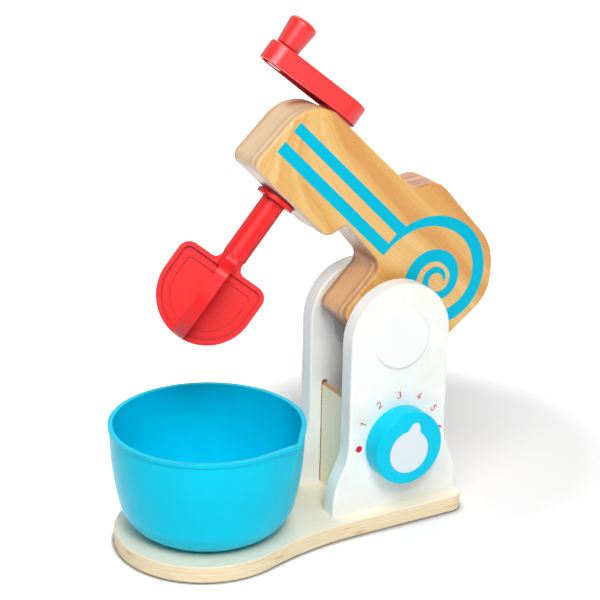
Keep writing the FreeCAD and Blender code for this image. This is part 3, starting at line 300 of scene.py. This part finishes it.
def pine_end(graph, forward, across, up, wood, wander, ahead):
    """The rings cut across: straight soft lanes that follow the sides, tan at the nose, browner behind,
    with painted shade along the rounded edges and a painted highlight just inside the near one.
    """
    lane = graph.math("DIVIDE", graph.plus(across, graph.about_zero(wander, 5)), 2 * head_half_width / MM)
    lane = graph.plus(lane, 0.5)
    # Partly ring lines and partly painted light: the dark lanes at both rounded edges are painted shade,
    # and the bright lane just inside the near edge is a painted highlight.
    rings_and_painted_edge_light = graph.ramp(
        lane, (0.02, grey(0.1)), (0.09, grey(0.4)), (0.14, grey(1.0)), (0.18, grey(0.85)),
        (0.23, grey(0.35)), (0.34, grey(0.75)), (0.8, grey(0.85)), (0.9, grey(0.1)))
    brow_lane = graph.ramp(
        lane, (0.0, grey(0.4)), (0.2, grey(0.25)), (0.42, grey(0.1)), (0.47, grey(1.0)),
        (0.57, grey(1.0)), (0.6, grey(0.0)), (0.68, grey(0.4)), (0.95, grey(0.8)))
    on_brow = graph.times(graph.rise(up, *BROW_UP), graph.rise(forward, *BROW_BACK),
                          graph.rise(ahead, 0.1, 0.3))
    lane = graph.mix(on_brow, rings_and_painted_edge_light, brow_lane)
    end_ring = graph.noise_along(graph.plus(across, graph.times(wander, 20)), 0.5, 3.0)
    lane = graph.plus(graph.times(lane, 0.85), graph.times(end_ring, 0.25))
    mottle = graph.noise(wood, (0.12, 0.25, 0.12), 3.0)
    lane = graph.plus(lane, graph.about_zero(mottle, 0.5), clamp=True)

    nose_end = graph.mix(lane, srgb(198, 152, 100), srgb(233, 207, 168))
    brow_end = graph.mix(lane, srgb(124, 64, 28), srgb(202, 142, 72))
    back_end = graph.mix(lane, srgb(148, 90, 52), srgb(226, 178, 122))
    back_end = graph.mix(on_brow, back_end, brow_end)
    end = graph.mix(graph.rise(forward, *PALE_NOSE), back_end, nose_end)
    speck = graph.noise(wood, (0.4, 2.4, 0.5))
    return graph.mix(graph.rise(speck, 0.58, 0.75, 0.0, 0.3), end, srgb(176, 128, 88))


PLY_LAYERS = 7


def bare_ply(graph, bottom, thickness):
    """Colour and grain of a plywood edge whose layers are stacked upward from the bottom."""
    sag = graph.noise(graph.point, (0.03, 0.03, 0.3))
    level = graph.math("DIVIDE", graph.minus(graph.split(graph.point)[2], bottom), thickness)
    level = graph.times(graph.plus(level, graph.about_zero(sag, 0.05)), PLY_LAYERS)
    grain = graph.noise(graph.point, (0.08, 0.08, 2.2), 3.0)
    wood = graph.ramp(grain, (0.3, srgb(250, 236, 204)), (0.7, srgb(236, 214, 172)))
    every_other = graph.rise(graph.math("SINE", graph.times(level, math.pi)), -0.4, 0.4, 0.0, 0.25)
    wood = graph.mix(every_other, wood, srgb(233, 205, 160))
    from_middle = graph.unsigned(graph.minus(graph.math("FRACT", level), 0.5))
    wood = graph.mix(graph.rise(from_middle, 0.4, 0.5, 0.0, 0.42), wood, srgb(214, 176, 124))
    stain = graph.rise(graph.noise(graph.point, (0.045, 0.045, 0.5)), 0.62, 0.72, 0.0, 0.75)
    stain = graph.times(stain, graph.rise(grain, 0.38, 0.6))
    return graph.mix(stain, wood, srgb(212, 150, 92)), grain


# The board's paint is laid a little lighter and warmer towards the column, with an uneven border: painted
# light, for the way light falls along the top.
BOARD_PAINTED_LIGHT, BOARD_PAINTED_LIGHT_SWAY = (-150, 0), 120


def sage_board():
    graph = Graph("sage_painted_ply", roughness=0.46)
    bare, bare_grain = bare_ply(graph, board_low.z / MM, (board_high.z - board_low.z) / MM)
    # Painted light: the paint goes lighter and warmer towards the column.
    cloud = graph.noise(graph.point, 0.03)
    run = graph.plus(graph.split(graph.point)[0], graph.about_zero(cloud, BOARD_PAINTED_LIGHT_SWAY))
    paint = graph.mix(graph.rise(run, *BOARD_PAINTED_LIGHT), srgb(242, 232, 212), srgb(251, 236, 213))
    grain = graph.noise(graph.point, (0.03, 1.1, 1.0), 4.0, 0.6)
    paint = graph.mix(graph.rise(grain, 0.5, 0.75, 0.0, 0.3), paint, srgb(196, 200, 180))

    # The paint ends raggedly where the top turns down into the edge.
    ragged = graph.about_zero(graph.noise(graph.point, 0.6, 3.0), 0.35)
    painted = graph.rise(graph.plus(graph.split(graph.normal)[2], ragged), 0.55, 0.9)
    graph.colour(graph.mix(painted, bare, paint))
    graph.rough(graph.rise(painted, 0.0, 1.0, 0.62, 0.4))
    graph.relief(graph.mix(painted, bare_grain, grain), 0.04, edge=0.4)
    return graph.material


def sage_panel():
    graph = Graph("sage_painted_panel", roughness=0.46)
    grain = graph.noise(graph.point, (1.0, 1.2, 0.04), 4.0, 0.6)
    paint = graph.mix(grain, srgb(254, 243, 215), srgb(246, 233, 205))
    fibre = graph.noise(graph.point, (1.4, 0.07, 1.6), 3.0)
    bare = graph.ramp(fibre, (0.3, srgb(232, 208, 168)), (0.52, srgb(204, 160, 112)),
                      (0.72, srgb(160, 110, 72)))

    # The panel's cut edges are bare, and so is a chipped line beside each slot.
    facing = graph.unsigned(graph.split(graph.normal)[0])
    ragged = graph.about_zero(graph.noise(graph.point, (1.0, 0.8, 0.8), 3.0), 0.4)
    painted = graph.rise(graph.plus(facing, ragged), 0.6, 0.85)
    from_middle = graph.unsigned(graph.split(graph.point)[1])
    chipped = graph.plus(from_middle, graph.noise(graph.point, (1.0, 1.0, 0.9), 3.0))
    slot = cheek_inner / MM
    painted = graph.times(painted, graph.rise(chipped, slot + 0.2, slot - 0.2))
    graph.colour(graph.mix(painted, bare, paint))
    graph.relief(grain, 0.05, edge=0.35)
    return graph.material


def white_paint():
    graph = Graph("white_painted_wood", roughness=0.38, Coat_Weight=0.08, Coat_Roughness=0.3)
    grain = graph.noise(graph.point, (0.7, 0.9, 0.03), 3.0, 0.55)
    peel = graph.noise(graph.point, 0.9)
    cloud = graph.noise(graph.point, 0.05)
    paint = graph.mix(graph.rise(cloud, 0.3, 0.7), srgb(247, 248, 245), srgb(240, 241, 236))
    graph.colour(graph.mix(graph.rise(grain, 0.55, 0.8, 0.0, 0.3), paint, srgb(226, 226, 219)))
    graph.rough(graph.rise(peel, 0.35, 0.65, 0.32, 0.44))
    graph.relief(graph.plus(graph.times(grain, 0.6), graph.times(peel, 0.4)), 0.03, edge=0.5)
    return graph.material


# Plastic, metal and ink

# How far the painted crease shade reaches, in millimetres.
PAINTED_CREASE_SHADE_REACH = 3


def moulded(name, colour, shade, roughness, crease=None, **fixed):
    """Moulded plastic with slow flow marks, a fine texture and, where a crease colour is given, painted
    shade: that darker colour laid into creases and beside walls.
    """
    graph = Graph(name, roughness, **fixed)
    flow = graph.noise(graph.point, (0.045, 0.045, 0.03), 2.0, 0.5, 0.6)
    surface = graph.mix(graph.rise(flow, 0.3, 0.75, 0.0, 0.5), colour, shade)
    if crease:
        # Painted shade: the colour darkens to the crease colour in creases and beside walls, where shade
        # falls.
        surface = graph.mix(graph.rise(graph.openness(PAINTED_CREASE_SHADE_REACH), 0.3, 0.95), crease, surface)
    graph.colour(surface)
    wear = graph.noise(graph.point, 0.12, 3.0)
    graph.rough(graph.rise(wear, 0.3, 0.72, roughness - 0.03, roughness + 0.04))
    graph.relief(graph.noise(graph.point, 2.6), 0.006, edge=0.35)
    return graph.material


def steel():
    graph = Graph("zinc_plated_steel", roughness=0.34, Metallic=1.0)
    drawn = graph.noise(graph.point, (3.0, 0.5, 3.0), 3.0)
    graph.colour(graph.ramp(drawn, (0.3, srgb(196, 198, 202)), (0.7, srgb(168, 170, 176))))
    graph.rough(graph.rise(drawn, 0.3, 0.7, 0.26, 0.42))
    graph.relief(drawn, 0.008, edge=0.15)
    return graph.material


def ink(name, colour, worn):
    """Printed ink, a little thinner where the fibres or the brush marks stand up."""
    graph = Graph(name, roughness=0.4, Specular_IOR_Level=0.06)
    wood = head_axes(graph)[3]
    fibre = graph.noise(wood, (0.06, 1.8, 1.8), 4.0, 0.6)
    graph.colour(graph.mix(graph.rise(fibre, 0.5, 0.8, 0.0, 0.5), colour, worn))
    graph.rough(graph.rise(fibre, 0.3, 0.7, 0.34, 0.48))
    graph.relief(fibre, 0.015)
    return graph.material


finishes = {
    "board": sage_board(),
    "panel": sage_panel(),
    "pine": pine(),
    "paint": white_paint(),
    "red": moulded("red_plastic_glossy", RED, RED_SHADE, 0.34, RED_PAINTED_CREASE_SHADE, Specular_IOR_Level=0.65),
    "beater": moulded("red_plastic_satin", RED, RED_SHADE, 0.38, RED_PAINTED_CREASE_SHADE, Specular_IOR_Level=0.32),
    "cyan": moulded("cyan_plastic_glossy", CYAN, CYAN_SHADE, 0.32, Specular_IOR_Level=0.1),
    "pointer": moulded("pointer_plastic_satin", srgb(223, 233, 238), srgb(217, 228, 234), 0.42),
    "cap": moulded("white_plastic_satin", srgb(244, 245, 244), srgb(238, 240, 239), 0.4),
    "grey": moulded("grey_plastic_matt", srgb(216, 217, 216), srgb(204, 206, 206), 0.5),
    "steel": steel(),
    "print": ink("cyan_print", PRINT_CYAN, PRINT_CYAN_WORN),
    "numeral": ink("red_print", NUMERAL_RED, NUMERAL_RED_WORN),
}

worn_by = {
    "board": ["base_board"],
    "panel": ["front_panel", "rear_panel"],
    "pine": ["head_block"],
    "paint": ["near_cheek", "far_cheek"],
    "red": ["crank_arm", "crank_grip", "crank_plug", "grip_plug", "upper_bush"],
    "beater": ["lower_bush", "beater"],
    "cyan": ["mixing_bowl", "control_knob"],
    "pointer": ["pointer_disc"],
    "cap": ["near_pivot_cap", "far_pivot_cap"],
    "grey": ["near_friction_disc", "far_friction_disc"],
    "steel": ["pivot_bolt", "pivot_nut", "pivot_sleeve", "stop_pin", "drive_tube", "spindle_bolt",
              "grip_screw", "knob_bolt", "knob_washer", "knob_nut", "base_screws"],
}
for finish, nodes in worn_by.items():
    for node in nodes:
        for slot in frame["nodes"][node].material_slots:
            slot.material = finishes[finish]


# Printed pieces

PRINT_LIFT = 0.03


def add_piece(name, shape, finish, body):
    mesh = bpy.data.meshes.new(name)
    shape.normal_update()
    shape.to_mesh(mesh)
    shape.free()
    mesh.materials.append(finishes[finish])
    piece = bpy.data.objects.new(name, mesh)
    bpy.context.scene.collection.objects.link(piece)
    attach(piece, body)


def flat_piece(name, outline, place, finish, body):
    """A thin printed shape: its closed outline is filled, and place() puts each point on its surface."""
    shape = bmesh.new()
    corners = [shape.verts.new((x, y, 0)) for x, y in outline]
    edges = [shape.edges.new(pair) for pair in zip(corners, corners[1:] + corners[:1])]
    bmesh.ops.triangle_fill(shape, use_beauty=True, edges=edges, normal=(0, 0, 1))
    for corner in shape.verts:
        corner.co = place(corner.co.x, corner.co.y)
    add_piece(name, shape, finish, body)


def arc(centre_x, centre_y, radius_x, radius_y, start, end, count=14):
    turns = [math.radians(start + (end - start) * step / count) for step in range(count + 1)]
    return [(centre_x + radius_x * math.cos(turn), centre_y + radius_y * math.sin(turn)) for turn in turns]


def smooth_rows(rows, step):
    """Points through rows of numbers that start with an angle, by a cubic through each four rows."""
    made = []
    for index in range(len(rows) - 1):
        near, far = rows[index], rows[index + 1]
        before = rows[max(index - 1, 0)]
        after = rows[min(index + 2, len(rows) - 1)]
        count = max(2, round((far[0] - near[0]) / step))
        for part in range(count):
            t = part / count
            made.append([
                0.5 * (2 * b + (c - a) * t + (2 * a - 5 * b + 4 * c - d) * t ** 2
                       + (3 * b - a - 3 * c + d) * t ** 3)
                for a, b, c, d in zip(before, near, far, after)])
    made.append(list(rows[-1]))
    return made


# Two stripes run back from the nose and end in a spiral ribbon. Lengths are in the head's millimetres.
STRIPE_START, GAP_END = 144.5, 41.3
UPPER_STRIPE = (46.5, 53.2)
LOWER_STRIPE = (31.3, 38.9)
SPIRAL_CENTRE = (-3.3, 42.5)
SPIRAL_STEP, MOUTH_STEP = 5, 3

# Each row is an angle from the head's forward axis and the ribbon's outer and inner radius there.
SPIRAL = [
    (15, 44.1, 38.9), (60, 41.0, 33.6), (105, 39.0, 30.7), (150, 36.6, 27.9), (195, 32.9, 23.9),
    (255, 27.0, 18.2), (315, 22.3, 13.2), (360, 21.1, 12.4), (405, 20.1, 12.0), (450, 19.4, 11.4),
    (495, 18.5, 11.9), (540, 16.6, 10.4), (600, 12.5, 6.3), (660, 8.6, 3.9), (720, 8.2, 3.4),
    (765, 8.5, 4.0), (810, 8.9, 5.3), (850, 9.1, 6.8), (874, 7.6, 7.6)]

# The ribbon's inner side where it opens into the lower stripe: an angle and a radius in each row.
SPIRAL_MOUTH = [(-13.5, 43.1), (-6.7, 42.0), (4.8, 40.2), (15, 38.9)]
MOUTH_LEAD = 1.0


def spiral_point(angle, radius):
    turn = math.radians(angle)
    return (SPIRAL_CENTRE[0] + radius * math.cos(turn), SPIRAL_CENTRE[1] + radius * math.sin(turn))


def head_print():
    ribbon = smooth_rows(SPIRAL, SPIRAL_STEP)
    outer = [spiral_point(angle, outside) for angle, outside, inside in ribbon]
    inner = [spiral_point(angle, inside) for angle, outside, inside in ribbon]
    mouth = [spiral_point(angle, radius) for angle, radius in smooth_rows(SPIRAL_MOUTH, MOUTH_STEP)[:-1]]
    stripes = [
        (STRIPE_START, UPPER_STRIPE[1]), (STRIPE_START, UPPER_STRIPE[0]),
        (GAP_END, UPPER_STRIPE[0]), (GAP_END, LOWER_STRIPE[1]),
        (STRIPE_START, LOWER_STRIPE[1]), (STRIPE_START, LOWER_STRIPE[0]),
        (mouth[0][0] + MOUTH_LEAD, LOWER_STRIPE[0])]
    return stripes + mouth + inner + outer[-2::-1]


outline = head_print()
for name, side in (("print_near", -1), ("print_far", 1)):
    level = side * (head_half_width / MM + PRINT_LIFT)
    flat_piece(name, outline, lambda a, b: on_head(a, b, level), "print", "head")


# Strokes of plain numerals, one unit high, about a middle at NUMERAL_MIDDLE.
NUMERALS = {
    "1": [[(0.10, 0.78), (0.34, 1.0), (0.34, 0.0)]],
    "2": [arc(0.31, 0.70, 0.27, 0.28, 165, -38) + [(0.04, 0.02), (0.62, 0.02)]],
    "3": [arc(0.30, 0.75, 0.25, 0.24, 155, -85), arc(0.30, 0.27, 0.29, 0.28, 85, -158)],
    "4": [[(0.46, 0.0), (0.46, 1.0), (0.03, 0.30)], [(0.03, 0.30), (0.66, 0.30)]],
    "5": [[(0.58, 0.98), (0.16, 0.98), (0.11, 0.55)] + arc(0.31, 0.32, 0.30, 0.31, 128, -150)],
    "6": [[(0.52, 0.98), (0.30, 0.86), (0.10, 0.58)] + arc(0.33, 0.30, 0.29, 0.30, 180, 540, 22)],
}
NUMERAL_MIDDLE = (0.33, 0.5)
NUMERAL_HEIGHT, STROKE, DIAL_RADIUS = 4.2, 0.64, 30.45
NUMERAL_ANGLES = {"1": 148.5, "2": 119.5, "3": 91, "4": 62, "5": 33, "6": 4}
DOT_ANGLE, DOT_INWARD, DOT_RADIUS, DOT_SIDES = 181, 1.65, 2.25, 60
SHARPEST_MITRE = 0.4


def pen_line(shape, stroke, width, place):
    """One pen stroke as a strip of faces with round ends."""
    steps = [Vector((x1 - x0, y1 - y0)).normalized() for (x0, y0), (x1, y1) in zip(stroke, stroke[1:])]
    leftward = [Vector((-step.y, step.x)) for step in steps]
    pairs = []
    for index, (x, y) in enumerate(stroke):
        before, after = leftward[max(index - 1, 0)], leftward[min(index, len(steps) - 1)]
        across = (before + after).normalized()
        reach = across * (width / 2 / max(across.dot(before), SHARPEST_MITRE))
        pairs.append([shape.verts.new(place(x + reach.x, y + reach.y)),
                      shape.verts.new(place(x - reach.x, y - reach.y))])
    for (left, right), (next_left, next_right) in zip(pairs, pairs[1:]):
        shape.faces.new((left, right, next_right, next_left))
    for (x, y), outward, (first, last) in ((stroke[0], -steps[0], pairs[0]),
                                           (stroke[-1], steps[-1], pairs[-1][::-1])):
        heading = math.degrees(math.atan2(outward.y, outward.x))
        cap = arc(x, y, width / 2, width / 2, heading - 90, heading + 90, 8)[1:-1]
        shape.faces.new([first] + [shape.verts.new(place(*point)) for point in cap] + [last])


def on_dial(x, y, angle, lift=PRINT_LIFT):
    """A point on the cheek, x and y from a numeral's middle, with y pointing away from the knob."""
    turn = math.radians(angle)
    out = Vector((math.cos(turn), 0, math.sin(turn)))
    along = Vector((math.sin(turn), 0, -math.cos(turn)))
    foot = Vector((dial_centre.x, cheek_face - lift * MM, dial_centre.z))
    return foot + (out * (DIAL_RADIUS + y) + along * x) * MM


for text, angle in NUMERAL_ANGLES.items():
    shape = bmesh.new()
    for layer, stroke in enumerate(NUMERALS[text], start=1):
        scaled = [((x - NUMERAL_MIDDLE[0]) * NUMERAL_HEIGHT, (y - NUMERAL_MIDDLE[1]) * NUMERAL_HEIGHT)
                  for x, y in stroke]
        pen_line(shape, scaled, STROKE, lambda x, y: on_dial(x, y, angle, layer * PRINT_LIFT))
    bmesh.ops.recalc_face_normals(shape, faces=shape.faces)
    if shape.faces[:][0].normal.y > 0:
        bmesh.ops.reverse_faces(shape, faces=shape.faces)
    add_piece("numeral_" + text, shape, "numeral", "stand")

flat_piece("dial_dot", arc(0, 0, DOT_RADIUS, DOT_RADIUS, 0, 360, DOT_SIDES)[:-1],
           lambda x, y: on_dial(x, y - DOT_INWARD, DOT_ANGLE), "numeral", "stand")


# Floor and light

FLOOR_HALF, FLOOR_DROP = 4.0, 0.0003
SHADOW_CENTRE, SHADOW_CORE, SHADOW_END = (75, 45, 0), 100, 230
PAINTED_CONTACT_SHADOW_REACH = 6
SKY = 0.02


def floor():
    """White as far as the camera sees it, save for the lamps' shadow beside the column and a painted
    contact shadow round the board's foot.
    """
    shape = bmesh.new()
    shape.faces.new([shape.verts.new((x * FLOOR_HALF, y * FLOOR_HALF, -FLOOR_DROP))
                     for x, y in ((-1, -1), (1, -1), (1, 1), (-1, 1))])
    mesh = bpy.data.meshes.new("floor")
    shape.to_mesh(mesh)
    shape.free()
    made = bpy.data.objects.new("floor", mesh)
    bpy.context.scene.collection.objects.link(made)
    graph = Graph("floor_white", roughness=0.9, Specular_IOR_Level=0.0, Emission_Color=grey(1))
    white = graph.mix(graph.noise(graph.point, 0.002), srgb(246, 246, 246), srgb(243, 243, 243))
    # Painted shadow: beside the board the floor's colour darkens to grey and its glow fades, where the
    # contact shade falls.
    openness = graph.openness(PAINTED_CONTACT_SHADOW_REACH)
    graph.colour(graph.mix(graph.rise(openness, 0.45, 0.95), srgb(150, 150, 152), white))
    path = graph.node("LightPath").outputs
    seen = graph.math("MAXIMUM", path["Is Camera Ray"], path["Is Glossy Ray"])
    away = graph.vector("LENGTH", graph.vector("SUBTRACT", graph.point, SHADOW_CENTRE))
    glow = graph.times(seen, graph.rise(away, SHADOW_CORE, SHADOW_END), graph.rise(openness, 0.6, 0.98))
    graph.feed(graph.shader.inputs["Emission Strength"], glow)
    mesh.materials.append(graph.material)


def world():
    """A faint sky that lights, behind a white that only the camera and reflections see."""
    made = bpy.data.worlds.new("studio")
    made.use_nodes = True
    nodes, links = made.node_tree.nodes, made.node_tree.links
    nodes.clear()
    output = nodes.new("ShaderNodeOutputWorld")
    path = nodes.new("ShaderNodeLightPath")
    white, fill = nodes.new("ShaderNodeBackground"), nodes.new("ShaderNodeBackground")
    white.inputs["Color"].default_value = grey(1)
    white.inputs["Strength"].default_value = 1.0
    fill.inputs["Color"].default_value = (0.96, 0.98, 1.0, 1)
    fill.inputs["Strength"].default_value = SKY
    first, second = nodes.new("ShaderNodeMath"), nodes.new("ShaderNodeMath")
    first.operation = second.operation = "MAXIMUM"
    links.new(path.outputs["Is Camera Ray"], first.inputs[0])
    links.new(path.outputs["Is Glossy Ray"], first.inputs[1])
    links.new(first.outputs[0], second.inputs[0])
    links.new(path.outputs["Is Transmission Ray"], second.inputs[1])
    mix = nodes.new("ShaderNodeMixShader")
    links.new(second.outputs[0], mix.inputs[0])
    links.new(fill.outputs[0], mix.inputs[1])
    links.new(white.outputs[0], mix.inputs[2])
    links.new(mix.outputs[0], output.inputs[0])
    bpy.context.scene.world = made


# Each lamp's place, width and depth in metres, and watts. All point at LAMP_TARGET.
LAMPS = {
    "soft": ((-0.55, -0.85, 1.35), (1.2, 1.0), 18.5),
    "key": ((-0.4, -1.0, 1.1), (0.4, 0.4), 7.4),
    "front": ((-0.2, -1.8, 0.4), (0.9, 0.9), 1.0),
    "back": ((0.6, 0.8, 1.2), (0.9, 0.9), 7.4),
    "right": ((1.2, 0.4, 0.6), (0.8, 0.8), 3.2),
    "back_left": ((-1.1, 1.1, 0.9), (0.9, 0.9), 2.2),
}
LAMP_TARGET = Vector((-0.06, 0, 0.13))


def lamp(name, place, size, watts):
    data = bpy.data.lights.new(name, "AREA")
    data.shape, data.size, data.size_y = "RECTANGLE", *size
    data.energy = watts
    made = bpy.data.objects.new(name, data)
    bpy.context.scene.collection.objects.link(made)
    made.location = place
    made.rotation_euler = (LAMP_TARGET - made.location).to_track_quat("-Z", "Y").to_euler()


floor()
world()
for name, settings in LAMPS.items():
    lamp(name, *settings)


# Camera

# The photograph's view, found from the object's straight edges and circles. Lengths are in metres.
VIEW_AZIMUTH, VIEW_ELEVATION, VIEW_ROLL = (math.radians(angle) for angle in (-29.8865, 20.7345, 1.1095))
VIEW_TARGET = Vector((-0.06, 0, 0.12))
VIEW_BACK, VIEW_RIGHT, VIEW_UP = 1.0836, 0.0051346, 0.0257538
SENSOR_WIDTH, LENS = 36.0, 106.56


def camera():
    back = Vector((math.sin(VIEW_AZIMUTH) * math.cos(VIEW_ELEVATION),
                   -math.cos(VIEW_AZIMUTH) * math.cos(VIEW_ELEVATION), math.sin(VIEW_ELEVATION)))
    level = Vector((math.cos(VIEW_AZIMUTH), math.sin(VIEW_AZIMUTH), 0))
    upright = back.cross(level)
    right = level * math.cos(VIEW_ROLL) + upright * math.sin(VIEW_ROLL)
    up = upright * math.cos(VIEW_ROLL) - level * math.sin(VIEW_ROLL)
    place = VIEW_TARGET + back * VIEW_BACK + right * VIEW_RIGHT + up * VIEW_UP
    data = bpy.data.cameras.new("camera")
    data.sensor_width, data.lens = SENSOR_WIDTH, LENS
    data.clip_start, data.clip_end = 0.05, 50
    made = bpy.data.objects.new("camera", data)
    bpy.context.scene.collection.objects.link(made)
    turned = Matrix((right, up, back)).transposed()
    made.matrix_world = Matrix.Translation(place) @ turned.to_4x4()
    bpy.context.scene.camera = made


camera()
bpy.context.scene.view_settings.view_transform = "Standard"
